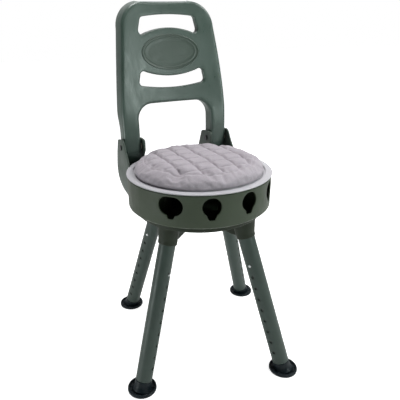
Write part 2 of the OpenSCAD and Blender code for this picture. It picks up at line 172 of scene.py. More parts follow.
class Nodes:
    """Builds one node material; every texture follows the object's own coordinates."""

    def __init__(self, name):
        self.material = bpy.data.materials.new(name)
        self.material.use_nodes = True
        self.tree = self.material.node_tree
        self.shader = self.tree.nodes["Principled BSDF"]
        self.coords = self.tree.nodes.new("ShaderNodeTexCoord").outputs["Object"]

    def add(self, kind, settings=None, **inputs):
        node = self.tree.nodes.new("ShaderNode" + kind)
        for key, value in (settings or {}).items():
            setattr(node, key, value)
        for key, value in inputs.items():
            socket = int(key[1:]) if key[0] == "_" else key.replace("_", " ")
            self.set(node.inputs[socket], value)
        return node

    def set(self, socket, value):
        if isinstance(value, bpy.types.NodeSocket):
            self.tree.links.new(value, socket)
        else:
            socket.default_value = value

    def noise(self, scale, detail=3.0, rough=0.5, vector=None, stretch=None):
        vector = vector or self.coords
        if stretch:
            vector = self.add("Mapping", Vector=vector, Scale=stretch).outputs[0]
        return self.add("TexNoise", Vector=vector, Scale=scale, Detail=detail, Roughness=rough).outputs["Fac"]

    def ramp(self, value, stops):
        node = self.add("ValToRGB", Fac=value)
        elements = node.color_ramp.elements
        while len(elements) < len(stops):
            elements.new(0.5)
        for element, (place, colour) in zip(elements, stops):
            element.position = place
            element.color = (*colour, 1) if len(colour) == 3 else colour
        return node.outputs["Color"]

    def span(self, value, low, high, at=(0.0, 1.0)):
        return self.add("MapRange", Value=value, From_Min=at[0], From_Max=at[1], To_Min=low,
                        To_Max=high).outputs[0]

    def math(self, operation, a, b=0.0):
        return self.add("Math", {"operation": operation}, _0=a, _1=b).outputs[0]

    def bump(self, height, strength, distance, normal=None):
        node = self.add("Bump", Height=height, Strength=strength, Distance=distance)
        if normal:
            self.set(node.inputs["Normal"], normal)
        return node.outputs["Normal"]

    def finish(self, **inputs):
        for key, value in inputs.items():
            self.set(self.shader.inputs[key.replace("_", " ")], value)
        return self.material


def shade(colour, factor):
    return tuple(min(1.0, c * factor) for c in colour)


def moulded(name, colour, rough=0.5, vary=0.12, grain=0.00012, specular=0.5):
    """Moulded plastic: fine spark-eroded grain, faint flow clouds, scuffs that catch the light."""
    n = Nodes(name)
    clouds = n.noise(9, 4, 0.6)
    scuffs = n.noise(60, 6, 0.7, stretch=(1, 1, 0.35))
    mixed = n.math("ADD", n.math("MULTIPLY", clouds, 0.72), n.math("MULTIPLY", scuffs, 0.28))
    base = n.ramp(mixed, [(0.30, shade(colour, 1 - vary)), (0.52, colour), (0.72, shade(colour, 1 + vary))])
    fine = n.noise(1500, 2, 0.5)
    waves = n.noise(28, 2, 0.5)
    normal = n.bump(fine, 0.35, grain, n.bump(waves, 0.25, 0.0006))
    return n.finish(Base_Color=base, Roughness=n.span(scuffs, rough - 0.09, rough + 0.11, (0.3, 0.7)),
                    Normal=normal, Specular_IOR_Level=specular)


def coated(name, colour, rough=0.42, chips=0.0):
    """Powder coat: orange-peel waviness with a little dust and, on sliding tubes, lengthwise wear."""
    n = Nodes(name)
    peel = n.noise(420, 2, 0.5)
    dust = n.noise(22, 6, 0.65)
    wear = n.noise(90, 4, 0.6, stretch=(1, 1, 0.12))
    mixed = n.math("ADD", n.math("MULTIPLY", dust, 0.6), n.math("MULTIPLY", wear, 0.4))
    base = n.ramp(mixed, [(0.33, shade(colour, 0.86)), (0.55, colour), (0.74, shade(colour, 1.2 + chips))])
    normal = n.bump(peel, 0.3, 0.00025, n.bump(dust, 0.1, 0.0005))
    return n.finish(Base_Color=base, Roughness=n.span(wear, rough - 0.06, rough + 0.12, (0.3, 0.7)),
                    Normal=normal, Metallic=0.0, Specular_IOR_Level=0.34, Coat_Weight=0.08,
                    Coat_Roughness=0.3)


def steel(name, colour, rough=0.3, brush=(1, 1, 30)):
    """Plated or bare steel with fine brushing and cloudy roughness."""
    n = Nodes(name)
    lines = n.noise(900, 3, 0.6, stretch=brush)
    clouds = n.noise(70, 4, 0.6)
    base = n.ramp(clouds, [(0.35, shade(colour, 0.82)), (0.6, colour), (0.8, shade(colour, 1.12))])
    return n.finish(Base_Color=base, Roughness=n.span(lines, rough - 0.08, rough + 0.14, (0.25, 0.75)),
                    Normal=n.bump(lines, 0.25, 0.00004), Metallic=1.0)


def rubbery(name, colour, rough=0.6):
    n = Nodes(name)
    grain = n.noise(700, 4, 0.6)
    dust = n.noise(45, 6, 0.7)
    base = n.ramp(dust, [(0.38, shade(colour, 0.8)), (0.6, colour), (0.78, shade(colour, 1.7))])
    return n.finish(Base_Color=base, Roughness=n.span(dust, rough - 0.12, rough + 0.14, (0.3, 0.7)),
                    Normal=n.bump(grain, 0.4, 0.0002), Specular_IOR_Level=0.22)


def woven(name, colour):
    """Plain weave: two crossed sets of rounded threads about 1 mm apart, slubs, and a soft sheen."""
    n = Nodes(name)
    parts = n.add("SeparateXYZ", Vector=n.coords)
    wobble = n.math("MULTIPLY", n.noise(160, 2, 0.5), 0.9)
    turns = 2 * math.pi / (1.15 * MM)

    def thread(axis, other):
        along = n.math("SINE", n.math("ADD", n.math("MULTIPLY", parts.outputs[axis], turns), wobble))
        across = n.math("SINE", n.math("MULTIPLY", parts.outputs[other], turns / 2))
        height = n.math("ADD", n.math("MULTIPLY", across, 0.25), 0.75)
        return n.math("MULTIPLY", n.math("ABSOLUTE", along), height)

    weave = n.math("MAXIMUM", thread("X", "Y"), thread("Y", "X"))
    slubs = n.noise(420, 3, 0.6, stretch=(1, 0.2, 1))
    clouds = n.noise(14, 4, 0.6)
    height = n.math("ADD", n.math("MULTIPLY", weave, 0.7), n.math("MULTIPLY", slubs, 0.3))
    tone = n.math("ADD", n.math("MULTIPLY", height, 0.45), n.math("MULTIPLY", clouds, 0.55))
    base = n.ramp(tone, [(0.28, shade(colour, 0.8)), (0.5, colour), (0.78, shade(colour, 1.1))])
    return n.finish(Base_Color=base, Roughness=n.span(clouds, 0.82, 0.95),
                    Normal=n.bump(height, 0.35, 0.0004), Sheen_Weight=0.1, Sheen_Roughness=0.5)


SHELL = (0.046, 0.061, 0.038)
MATERIALS = {
    "moulded_shell": moulded("shell_moulding", SHELL, 0.46, specular=0.26),
    # The hub and its leg sockets: the shell plastic darkened to 0.45 as painted shade for the dark under the
    # drum.
    "hub": moulded("hub_moulding_painted_shade", shade(SHELL, 0.45), 0.52, specular=0.2),
    "brackets": moulded("bracket_moulding", (0.070, 0.094, 0.077), 0.44, specular=0.3),
    "back_moulding": moulded("back_moulding", (0.057, 0.090, 0.073), 0.35, specular=0.62),
    "badge_plate": moulded("badge_moulding", (0.050, 0.074, 0.058), 0.4, specular=0.5),
    "leg_tube_coat": coated("leg_coat", (0.040, 0.060, 0.050)),
    "inner_tube_coat": coated("inner_tube_coat", (0.045, 0.058, 0.05), 0.36, 0.2),
    "foot_rubber": rubbery("foot_moulding", (0.007, 0.013, 0.017), 0.42),
    "spring_steel": steel("spring_steel", (0.5, 0.51, 0.52), 0.28),
    "button_steel": steel("button_steel", (0.58, 0.6, 0.6), 0.22),
    "bearing_steel": steel("bearing_steel", (0.52, 0.53, 0.54), 0.3),
    "screw_steel": steel("screw_steel", (0.42, 0.43, 0.44), 0.34),
    "nylon": moulded("nylon_moulding", (0.6, 0.58, 0.48), 0.5, 0.06),
    "board_plastic": moulded("board_moulding", (0.02, 0.02, 0.02), 0.55),
    "rim_plastic": moulded("rim_moulding", (0.5, 0.49, 0.52), 0.36, 0.05),
    "cushion_fabric": woven("cushion_cloth", (0.39, 0.354, 0.39)),
    "pin_black": coated("pin_coat", (0.012, 0.014, 0.015), 0.35),
}
for row in frame["record"]["subparts"]:
    cad = frame["nodes"][row["node"]]
    cad.data.materials.clear()
    cad.data.materials.append(MATERIALS[row["material_slot"]])

# ---------------------------------------------------------------- mesh tools


def arc_outline(corners, step=10.0, closed=True):
    """A polyline through (x, y, radius) corners, rounded by arcs in steps of some degrees."""
    out = []
    count = len(corners)
    for i, (x, y, radius) in enumerate(corners):
        here = Vector((x, y))
        if radius <= 0 or (not closed and i in (0, count - 1)):
            out.append((x, y))
            continue
        before = (Vector(corners[i - 1][:2]) - here).normalized()
        after = (Vector(corners[(i + 1) % count][:2]) - here).normalized()
        half = before.angle(after) / 2
        centre = here + (before + after).normalized() * (radius / math.sin(half))
        start = here + before * (radius / math.tan(half)) - centre
        end = here + after * (radius / math.tan(half)) - centre
        turn = math.atan2(start.x * end.y - start.y * end.x, start.dot(end))
        steps = max(1, round(math.degrees(abs(turn)) / step))
        for k in range(steps + 1):
            a = turn * k / steps
            out.append((centre.x + start.x * math.cos(a) - start.y * math.sin(a),
                        centre.y + start.x * math.sin(a) + start.y * math.cos(a)))
    return out


def dense(points, spacing, closed=True):
    """The same polyline with extra points, none further apart than the spacing."""
    points = [Vector(p) for p in points]
    ends = points[1:] + points[:1] if closed else points[1:]
    out = []
    for a, b in zip(points, ends):
        parts = max(1, math.ceil((b - a).length / spacing))
        out += [a.lerp(b, k / parts) for k in range(parts)]
    if not closed:
        out.append(points[-1])
    return np.array([tuple(p) for p in out])


def relaxed(points, rounds):
    """A closed loop smoothed some rounds: each point moves halfway to the middle of its neighbours."""
    for _ in range(rounds):
        points = points * 0.5 + (np.roll(points, 1, 0) + np.roll(points, -1, 0)) * 0.25
    return points


def side_steps(points):
    """For each point of a closed loop, the step to its left that moves both of its edges sideways by one."""
    ahead = np.roll(points, -1, 0) - points
    ahead /= np.maximum(np.linalg.norm(ahead, axis=1, keepdims=True), 1e-12)
    left = np.stack([-ahead[:, 1], ahead[:, 0]], 1)
    both = left + np.roll(left, 1, 0)
    return both / np.maximum((both ** 2).sum(1, keepdims=True) / 2, 0.3)


def inside(points, loops):
    """Which points lie within the first loop and outside the others, by counting crossings."""
    odd = np.zeros(len(points), bool)
    for loop in loops:
        a, b = loop, np.roll(loop, -1, 0)
        for start in range(0, len(points), 4000):
            p = points[start:start + 4000]
            y = p[:, 1:2]
            spans = (a[:, 1] > y) != (b[:, 1] > y)
            rise = np.where(b[:, 1] == a[:, 1], 1, b[:, 1] - a[:, 1])
            cross = spans & (p[:, :1] < (b[:, 0] - a[:, 0]) * (y - a[:, 1]) / rise + a[:, 0])
            odd[start:start + 4000] ^= cross.sum(1) % 2 == 1
    return odd


def fill_between(loops, spacing, extra=None):
    """Points and triangles that fill the first loop and leave the others open, loops' points first."""
    edge_points = np.concatenate(loops)
    low, high = edge_points.min(0), edge_points.max(0)
    gu, gv = np.meshgrid(np.arange(low[0], high[0], spacing), np.arange(low[1], high[1], spacing))
    gu[::2] += spacing / 2
    grid = np.stack([gu.ravel(), gv.ravel()], 1)
    if extra is not None:
        grid = np.concatenate([grid, extra])
    grid = grid[inside(grid, loops)]
    near = np.array([np.abs(edge_points - g).max(1).min() for g in grid]) if len(grid) else np.zeros(0)
    grid = grid[near > spacing * 0.45]
    edges, first = [], 0
    for loop in loops:
        edges += [(first + k, first + (k + 1) % len(loop)) for k in range(len(loop))]
        first += len(loop)
    points = np.concatenate([edge_points, grid])
    out = delaunay_2d_cdt([Vector(p) for p in points], edges, [], 0, 1e-9)
    source = [ids[0] if ids else -1 for ids in out[3]]
    triangles = np.array([[source[k] for k in face] for face in out[2] if min(source[k] for k in face) >= 0])
    middles = points[triangles].mean(1)
    return points, triangles[inside(middles, loops)]


class Build:
    """Collects points and faces, then makes one closed smooth mesh of them."""

    def __init__(self):
        self.points = []
        self.faces = []

    def strip(self, rows, closed=True):
        """Quads between rows of points; closed joins each row's ends."""
        n = len(rows[0])
        first = len(self.points)
        for row in rows:
            self.points += [tuple(p) for p in row]
        for j in range(len(rows) - 1):
            for k in range(n if closed else n - 1):
                a, b = first + j * n + k, first + j * n + (k + 1) % n
                self.faces.append((a, b, b + n, a + n))

    def patch(self, points, triangles):
        first = len(self.points)
        self.points += [tuple(p) for p in points]
        self.faces += [tuple(first + k for k in t) for t in triangles]

    def cap(self, row):
        first = len(self.points)
        self.points += [tuple(p) for p in row]
        self.faces.append(tuple(range(first, first + len(row))))

    def lathe(self, profile, steps=96, turn=None):
        """A profile of (r, z) points turned about Z, and placed by a matrix if one is given."""
        rows = []
        angles = [2 * math.pi * k / steps for k in range(steps)]
        for r, z in profile:
            row = [(r * math.cos(a), r * math.sin(a), z) for a in angles]
            rows.append([turn @ Vector(p) for p in row] if turn else row)
        self.strip(rows)

    def sheet(self, loops, place, spacing, thick):
        """A moulded sheet with rounded edges. Each loop is (points, rings): the rings lead from the
        front face round the edge to the rear face, each a sideways step and a depth. The place
        function takes u, v and depth."""
        fronts, rears = [], []
        for points, rings in loops:
            steps = side_steps(points)
            rows = []
            for side, depth in rings:
                side = side(points) if callable(side) else side
                moved = points + steps * np.reshape(side, (-1, 1))
                depth = depth(moved) if callable(depth) else depth
                rows.append((moved, depth))
            self.strip([place(m[:, 0], m[:, 1], d + 0 * m[:, 0]) for m, d in rows])
            fronts.append(rows[0][0])
            rears.append(rows[-1][0])
        for edge, depth in ((fronts, 0.0), (rears, thick)):
            points, triangles = fill_between(edge, spacing)
            self.patch(place(points[:, 0], points[:, 1], depth + 0 * points[:, 0]), triangles)

    def piece(self, name, material, body, cad=(), merge=2e-6, look=None):
        """The finished object, riding on a body, in place of some CAD nodes."""
        mesh = bpy.data.meshes.new(name)
        mesh.from_pydata(self.points, [], self.faces)
        work = bmesh.new()
        work.from_mesh(mesh)
        bmesh.ops.remove_doubles(work, verts=work.verts, dist=merge)
        bmesh.ops.dissolve_degenerate(work, edges=work.edges, dist=merge)
        bmesh.ops.recalc_face_normals(work, faces=work.faces)
        work.to_mesh(mesh)
        work.free()
        mesh.polygons.foreach_set("use_smooth", [True] * len(mesh.polygons))
        return add_piece(name, mesh, material, body, cad, look)


def add_piece(name, mesh, material, body, cad=(), look=None):
    """A piece on a body, in place of some CAD nodes. Its look is its slot's unless one is given."""
    piece = bpy.data.objects.new(name, mesh)
    bpy.context.scene.collection.objects.link(piece)
    mesh.materials.clear()
    mesh.materials.append(MATERIALS[look or material])
    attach(piece, body)
    if cad:
        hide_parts(*cad)
    return piece


def edge_rings(front, rear, thick, wall=0.0, steps=4):
    """Rings from the front face round a rounded edge, along the wall, and round the rear edge.
    With a wall thickness the rings turn back inside the wall to a sheet of the given thickness."""
    arc = [math.pi / 2 * k / steps for k in range(steps + 1)]
    rings = [(front * (1 - math.sin(a)), front * (1 - math.cos(a))) for a in arc]
    lip = min(1.1 * MM, wall / 2) if wall else 1.0 * MM
    if not wall:
        return rings + [(lip * (1 - math.cos(a)), thick - lip * (1 - math.sin(a))) for a in arc]
    rings += [(lip * (1 - math.cos(a)), lambda p, a=a: rear(p) - lip * (1 - math.sin(a))) for a in arc]
    rings += [(wall - lip * (1 - math.sin(a)), lambda p, a=a: rear(p) - lip * (1 - math.cos(a))) for a in arc]
    return rings + [(wall, thick + 2 * MM), (wall + 0.6 * MM, thick + 0.6 * MM), (wall + 2 * MM, thick)]


def solid_rings(r, thick, steps=3):
    """Rings that round both edges of a solid plate."""
    arc = [math.pi / 2 * k / steps for k in range(steps + 1)]
    return ([(r * (1 - math.sin(a)), r * (1 - math.cos(a))) for a in arc]
            + [(r * (1 - math.cos(a)), thick - r * (1 - math.sin(a))) for a in arc])


def counter_clockwise(points):
    """The closed loop in that order, whichever way round it came."""
    x, y = points[:, 0], points[:, 1]
    return points if (x * np.roll(y, -1) - np.roll(x, -1) * y).sum() > 0 else points[::-1]


def add_plate(build, outline, thick, place, r=1 * MM, spacing=16 * MM, soft=2):
    """A solid plate with rounded edges; its corners are softened first."""
    points = relaxed(dense([(x * MM, y * MM) for x, y in outline], 2.5 * MM), soft)
    build.sheet([(counter_clockwise(points), solid_rings(r, thick))], place, spacing, thick)


def pierced_wall(build, radius, wall, low, high, holes, steps, spacing, lip=0.8 * MM):
    """The wall of a tube between two heights, with holes, each a clockwise loop of (arc length, height)."""
    u = np.linspace(-math.pi, math.pi, steps + 1) * radius
    z = np.linspace(low, high, max(2, round((high - low) / spacing) + 1))
    border = np.concatenate([np.stack([u, low + 0 * u], 1), np.stack([u[-1] + 0 * z, z], 1)[1:],
                             np.stack([u[::-1], high + 0 * u], 1)[1:],
                             np.stack([u[0] + 0 * z, z[::-1]], 1)[1:-1]])

    def place(p, depth):
        turn = p[:, 0] / radius
        return np.stack([(radius - depth) * np.sin(turn), -(radius - depth) * np.cos(turn), p[:, 1]], 1)

    outer, inner = [border], [border]
    for hole in holes:
        steps_in = side_steps(hole)
        rows = [(hole + steps_in * side, depth) for side, depth in solid_rings(lip, wall)]
        build.strip([place(p, depth) for p, depth in rows])
        outer.append(rows[0][0])
        inner.append(rows[-1][0])
    for loops, depth in ((outer, 0.0), (inner, wall)):
        points, triangles = fill_between(loops, spacing)
        build.patch(place(points, depth), triangles)

# ---------------------------------------------------------------- seat cushion

RING_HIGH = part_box("rim_ring")[1]
CUSHION_LOW, CUSHION_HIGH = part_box("seat_cushion")
SEAT_Z = RING_HIGH.z
RING_R = RING_HIGH.x
CUSHION_R = CUSHION_HIGH.x
QUILT_PITCH = (48 * MM, 45 * MM)
QUILT_START = (3 * MM, -17 * MM)
QUILT_R = 143 * MM                    # the quilted field; the rolled border lies outside it
PUFF = 8.5 * MM
SWELL_CAP = 8 * MM


def cloth_pad(pad):
    """Fills the pad like a pressed cushion, its underside held, and caps how far a point moves."""
    group = pad.vertex_groups.new(name="held")
    held = [v.index for v in pad.data.vertices if v.co.z < SEAT_Z + 2 * MM]
    group.add(held, 1.0, "REPLACE")
    start = np.array([v.co for v in pad.data.vertices])
    cloth = pad.modifiers.new("cloth", "CLOTH")
    cloth.settings.quality = 5
    cloth.settings.mass = 0.3
    cloth.settings.tension_stiffness = 18
    cloth.settings.compression_stiffness = 12
    cloth.settings.bending_stiffness = 1.2
    cloth.settings.use_pressure = True
    cloth.settings.uniform_pressure_force = 4
    cloth.settings.vertex_group_mass = "held"
    cloth.settings.effector_weights.gravity = 0
    cloth.point_cache.frame_start = 1
    cloth.point_cache.frame_end = 20
    for number in range(1, 21):
        bpy.context.scene.frame_set(number)
    depsgraph = bpy.context.evaluated_depsgraph_get()
    swollen = pad.evaluated_get(depsgraph).to_mesh()
    end = np.array([v.co for v in swollen.vertices])
    pad.evaluated_get(depsgraph).to_mesh_clear()
    pad.modifiers.remove(cloth)
    pad.vertex_groups.clear()
    bpy.context.scene.frame_set(1)
    move = end - start
    length = np.linalg.norm(move, axis=1, keepdims=True)
    move *= np.minimum(1, SWELL_CAP / np.maximum(length, 1e-9))
    pad.data.vertices.foreach_set("co", (start + move).astype(np.float32).ravel())
    pad.data.update()


def smooth_step(x):
    """0 to 1 with a soft start and end."""
    x = np.clip(x, 0, 1)
    return x * x * (3 - 2 * x)


def quilt(points, normals):
    """Sinks the stitched seams of the quilting into the top of the pad, and puckers the cloth beside them."""
    r = np.hypot(points[:, 0], points[:, 1])
    field = smooth_step((QUILT_R - r) / (9 * MM)) * smooth_step((normals[:, 2] - 0.2) / 0.3)
    away = []
    for axis in (0, 1):
        other = points[:, 1 - axis]
        wander = 0.9 * MM * np.sin(other / (21 * MM) + 1.7 * axis)
        phase = (points[:, axis] + wander - QUILT_START[axis]) / QUILT_PITCH[axis]
        away.append(np.abs(phase - np.round(phase)) * QUILT_PITCH[axis])
    near = np.minimum(away[0], away[1])
    dome = 1.0
    for axis in (0, 1):
        share = np.clip(away[axis] / (QUILT_PITCH[axis] / 2), 0, 1)
        dome = dome * (1 - (1 - share) ** 2.4)
    sink = PUFF * (1 - dome ** 0.55)
    stitch = 1.5 * MM * np.exp(-(near / (1.6 * MM)) ** 2)
    pucker = np.array([noise.noise(Vector(p) * 115) for p in points]) * 1.1 * MM
    pucker *= np.exp(-near / (9 * MM))
    border = 2.2 * MM * np.exp(-((r - QUILT_R) / (2.6 * MM)) ** 2) * smooth_step((normals[:, 2] - 0.1) / 0.3)
    down = (sink + stitch + pucker) * field + border
    soft = np.array([noise.noise(Vector(p) * 23) for p in points]) * 0.9 * MM
    return points - normals * (down + soft * smooth_step(normals[:, 2] + 0.6))[:, None]


def vertex_normals(mesh):
    out = np.zeros(len(mesh.vertices) * 3, np.float32)
    mesh.vertex_normals.foreach_get("vector", out)
    return out.reshape(-1, 3)


def make_cushion():
    """A round pad, swollen like cloth and then quilted, narrower where it stands inside the rim."""
    low, r, top = CUSHION_LOW.z, CUSHION_R, CUSHION_HIGH.z
    foot = r - 9 * MM
    build = Build()
    profile = [(0.5 * MM, low), (foot, low), (foot, SEAT_Z + 0.8 * MM)]
    crown = ((-5, 3), (-2.5, 9), (-5, 16), (-11, 22), (-22, 26.5), (-45, 30.5), (-80, 33), (-120, 34))
    profile += [(x * MM + r, z * MM + SEAT_Z) for x, z in crown]
    build.lathe(profile + [(0.5 * MM, SEAT_Z + 34 * MM)], 72)
    pad = build.piece("cushion", "cushion_fabric", "seat", ["seat_cushion"])
    remesh = pad.modifiers.new("remesh", "REMESH")
    remesh.mode = "VOXEL"
    remesh.voxel_size = 4.6 * MM
    apply_modifiers(pad)
    cloth_pad(pad)
    divide = pad.modifiers.new("divide", "SUBSURF")
    divide.levels = divide.render_levels = 1
    apply_modifiers(pad)
    mesh = pad.data
    points = np.array([v.co for v in mesh.vertices])
    points = quilt(points, vertex_normals(mesh))
    points[:, 2] = np.clip(points[:, 2], low, top)
    r_now = np.hypot(points[:, 0], points[:, 1])
    r_most = np.where(points[:, 2] < SEAT_Z + 0.5 * MM, foot, r + 1 * MM)
    points[:, :2] *= np.minimum(1, r_most / np.maximum(r_now, 1e-9))[:, None]
    mesh.vertices.foreach_set("co", points.astype(np.float32).ravel())
    mesh.polygons.foreach_set("use_smooth", [True] * len(mesh.polygons))
    mesh.update()


def apply_modifiers(obj):
    """Replaces the object's mesh by what its modifiers make of it."""
    bpy.context.view_layer.update()
    result = bpy.data.meshes.new_from_object(obj.evaluated_get(bpy.context.evaluated_depsgraph_get()))
    obj.modifiers.clear()
    old, obj.data = obj.data, result
    bpy.data.meshes.remove(old)


make_cushion()

# ---------------------------------------------------------------- rim ring

ring_build = Build()
ring_build.lathe([(RING_R - x * MM, SEAT_Z - z * MM) for x, z in arc_outline(
    [(25, 0.2, 1.2), (25, 3.1, 1.2), (0.1, 3.1, 1.4), (0, 0, 1.6), (8, 0.0, 6), (12, 0.5, 4),
     (16, 0.1, 4)], 12)], 192)
ring_build.piece("rim", "rim_plastic", "seat", ["rim_ring"])

# ---------------------------------------------------------------- backrest moulding

BACK_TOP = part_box("back_shell")[1].z
BACK_R = 157.5 * MM
LEG_IN = 109 * MM
CORNER_R = 66 * MM
CORNER_Z = BACK_TOP - CORNER_R
BACK_TAPER = 27.5 * MM
CORNER_X = BACK_R - BACK_TAPER - CORNER_R + 4.2 * MM
LEG_END = 552 * MM
BACK_SKIN = 4.5 * MM


def edge_y(z):
    """How far back the front edge of the backrest's sides lies at a height."""
    return 150 * MM + 56 * MM * np.clip((z - 600 * MM) / (BACK_TOP - 600 * MM), 0, 1) ** 1.75


def depth_at(z):
    """The depth of the backrest's sides at a height."""
    return 38 * MM + 8 * MM * np.clip((z - 640 * MM) / (280 * MM), 0, 1)


def half_width(z):
    """Half the backrest's width at a height: tapered sides, then rounded top corners."""
    taper = BACK_R - BACK_TAPER * np.clip((z - 660 * MM) / (250 * MM), 0, 1) ** 1.3
    crown = CORNER_X + np.sqrt(np.maximum(0, CORNER_R ** 2 - np.maximum(0, z - CORNER_Z) ** 2))
    return np.where(z <= CORNER_Z, taper, crown)


def back_face(x, z):
    """Where the front face lies: hollowed across, most of all low down."""
    less_above = 1 - 0.4 * np.clip((z - 720 * MM) / (200 * MM), 0, 1)
    hollow = 14 * MM * smooth_step((z - 620 * MM) / (90 * MM)) * less_above
    across = np.minimum(1, np.abs(x) / np.maximum(half_width(z), 1 * MM))
    return edge_y(z) + hollow * (1 - across ** 2)


def place_back(x, z, depth):
    return np.stack([x, back_face(x, z) + depth, z], 1)


def slot_outline(low, high, side):
    """A slot with curved long edges. Each edge is (height at the middle, rise out to its corners,
    x and z of the corner's centre, angle where the corner meets the edge), in millimetres. Side is the
    lean of the short edges in degrees."""
    def corner(x, z, start, end):
        a = np.radians(np.linspace(start, end, 9))
        return np.stack([x + 10 * np.cos(a), z + 10 * np.sin(a)], 1)

    t = np.linspace(0, 1, 19)[:-2]
    right = np.concatenate([np.stack([t * low[2], low[0] + low[1] * t * t], 1),
                            corner(low[2], low[3], low[4], side),
                            corner(high[2], high[3], side + 4, high[4]),
                            np.stack([t * high[2], high[0] + high[1] * t * t], 1)[::-1]])
    loop = np.concatenate([right, (right * (-1, 1))[::-1][1:-1]])
    return relaxed(dense(loop[::-1] * MM, 2.2 * MM), 2)


UPPER_SLOT = (881, -15.5, 76.5, 875.5, -112), (914, -4.3, 69.5, 899.7, 83), 16
LOWER_SLOT = (726.4, 8.1, 87, 744.5, -79), (757, 15.4, 83, 762.6, 110), 12.5


def make_back():
    """The backrest moulding: a curved sheet with two slots and two legs, open at the rear."""
    zs = np.linspace(LEG_END, CORNER_Z, 90)
    right = np.stack([half_width(zs), zs], 1)
    angles = np.linspace(0, math.pi / 2, 24)[1:]
    corner = np.stack([CORNER_X + CORNER_R * np.cos(angles), CORNER_Z + CORNER_R * np.sin(angles)], 1)
    side = np.concatenate([right, corner])
    mirrored = side[::-1] * (-1, 1)
    opening = arc_outline([(-LEG_IN, LEG_END, 0), (-LEG_IN, 686 * MM, 42 * MM), (LEG_IN, 686 * MM, 42 * MM),
                           (LEG_IN, LEG_END, 0)], 6, closed=False)
    outer = dense(np.concatenate([side, mirrored, np.array(opening)]), 4 * MM)
    upper, lower = slot_outline(*UPPER_SLOT), slot_outline(*LOWER_SLOT)

    def flare(points, share):
        """Outer sides lean outwards towards the rear; the legs between the bracket plates don't."""
        outside = np.abs(points[:, 0]) > half_width(points[:, 1]) - 0.5 * MM
        outside |= points[:, 1] > BACK_TOP - 0.5 * MM
        return -4 * MM * share * outside * smooth_step((points[:, 1] - 610 * MM) / (60 * MM)) * (
            points[:, 1] < BACK_TOP - 0.4 * MM)

    def rear_of_edge(p):
        return edge_y(p[:, 1]) + depth_at(p[:, 1]) - back_face(p[:, 0], p[:, 1])

    def shifted(rings, from_ring):
        """The same rings, flared by the depth share that each has."""
        out = []
        for k, (s, depth) in enumerate(rings):
            share = 0 if k <= from_ring else 1
            out.append((lambda p, s=s, share=share: s + flare(p, share), depth))
        return out

    def slot_rings(rim_y):
        return edge_rings(4 * MM, lambda p: rim_y - back_face(p[:, 0], p[:, 1]), BACK_SKIN, 4 * MM, 5)

    build = Build()
    front = 9 * MM
    build.sheet([(outer, shifted(edge_rings(front, rear_of_edge, BACK_SKIN, 4.5 * MM, 6), 6)),
                 (upper, slot_rings(215 * MM)), (lower, slot_rings(184 * MM))], place_back, 7 * MM, BACK_SKIN)
    build.piece("backrest", "back_moulding", "backrest", ["back_shell"])


make_back()

HEEL = [(150.4, 600), (150.4, 572), (151.4, 550), (158.2, 537), (158.2, 527), (164, 521.3), (174, 521.3),
        (180.6, 528), (187.6, 572), (187, 600)]


def make_heels():
    """The solid lower ends of the backrest's legs, which turn on the pins and stop against the rim."""
    build = Build()
    for side in (-1, 1):
        add_plate(build, HEEL, BACK_R - LEG_IN - 0.8 * MM,
                  lambda u, v, d, side=side: np.stack([side * (BACK_R - 0.4 * MM - d), u, v], 1), 2.5 * MM)
    return build.piece("heels", "back_moulding", "backrest")


make_heels()


def make_ribs():
    """Stiffening ribs across and along the open rear of the backrest."""
    build = Build()
    half = 1.4 * MM

    def rib(line, rise):
        """A rib along (x, z) points, from inside the skin to some depth behind the front edge."""
        line = dense([(x * MM, z * MM) for x, z in line], 6 * MM, closed=False)
        ahead = np.gradient(line, axis=0)
        ahead /= np.linalg.norm(ahead, axis=1, keepdims=True)
        across = np.stack([-ahead[:, 1], ahead[:, 0]], 1)
        face = back_face(line[:, 0], line[:, 1])
        deep = edge_y(line[:, 1]) + rise
        ring = []
        for side, share in ((-1.3, 0), (-1, 0.97), (-0.6, 1), (0.6, 1), (1, 0.97), (1.3, 0)):
            at = line + across * side * half
            y = face + 3 * MM + share * np.maximum(deep - face - 3 * MM, 1 * MM)
            ring.append(np.stack([at[:, 0], y, at[:, 1]], 1))
        rows = np.stack(ring, 1)
        build.strip(list(rows))
        build.cap(rows[0])
        build.cap(rows[-1][::-1])

    for x in (-58, 0, 58):
        rib([(x, 789), (x, 856 + (8 if x == 0 else 0))], 26 * MM)
    for x in (-58, 0, 58):
        rib([(x, 691), (x, 716)], 24 * MM)
        rib([(x, 919), (x, 940)], 30 * MM)
    rib([(-122, 812), (122, 812)], 26 * MM)
    rib([(-146, 702), (146, 702)], 24 * MM)
    for side in (-1, 1):
        for z in (610, 640, 670):
            rib([(side * 112, z), (side * 153, z)], 26 * MM)
        rib([(side * 133, 604), (side * 133, 690)], 24 * MM)
        for z in (735, 760, 840, 880):
            rib([(side * 97, z), (side * (146 if z < 800 else 132), z)], 28 * MM)
    return build.piece("back_ribs", "back_moulding", "backrest")


make_ribs()

BADGE_HALF = (84 * MM, 46 * MM)
BADGE_Z = 819 * MM


def make_badge():
    """A plain oval plate with a raised rim and a shallow inner step."""
    build = Build()
    angles = np.linspace(0, 2 * math.pi, 121)[:-1]
    rows = []
    for inset, rise in ((4, -1.5), (0, -1.5), (0, 0.6), (0.5, 1.2), (1.6, 1.5), (3.2, 1.3), (4.4, 0.5),
                        (5.5, 0.25), (9, 0.3), (10, 0.6), (11, 0.3), (20, 0.35), (30, 0.4), (38, 0.4)):
        x = (BADGE_HALF[0] - inset * MM) * np.cos(angles)
        z = (BADGE_HALF[1] - inset * MM) * np.sin(angles) + BADGE_Z
        rows.append(place_back(x, z, -rise * MM))
    build.strip(rows)
    build.cap(rows[0][::-1])
    build.cap(rows[-1])
    return build.piece("badge", "badge_plate", "backrest", ["back_badge"])


make_badge()

# ---------------------------------------------------------------- drum and hinge brackets

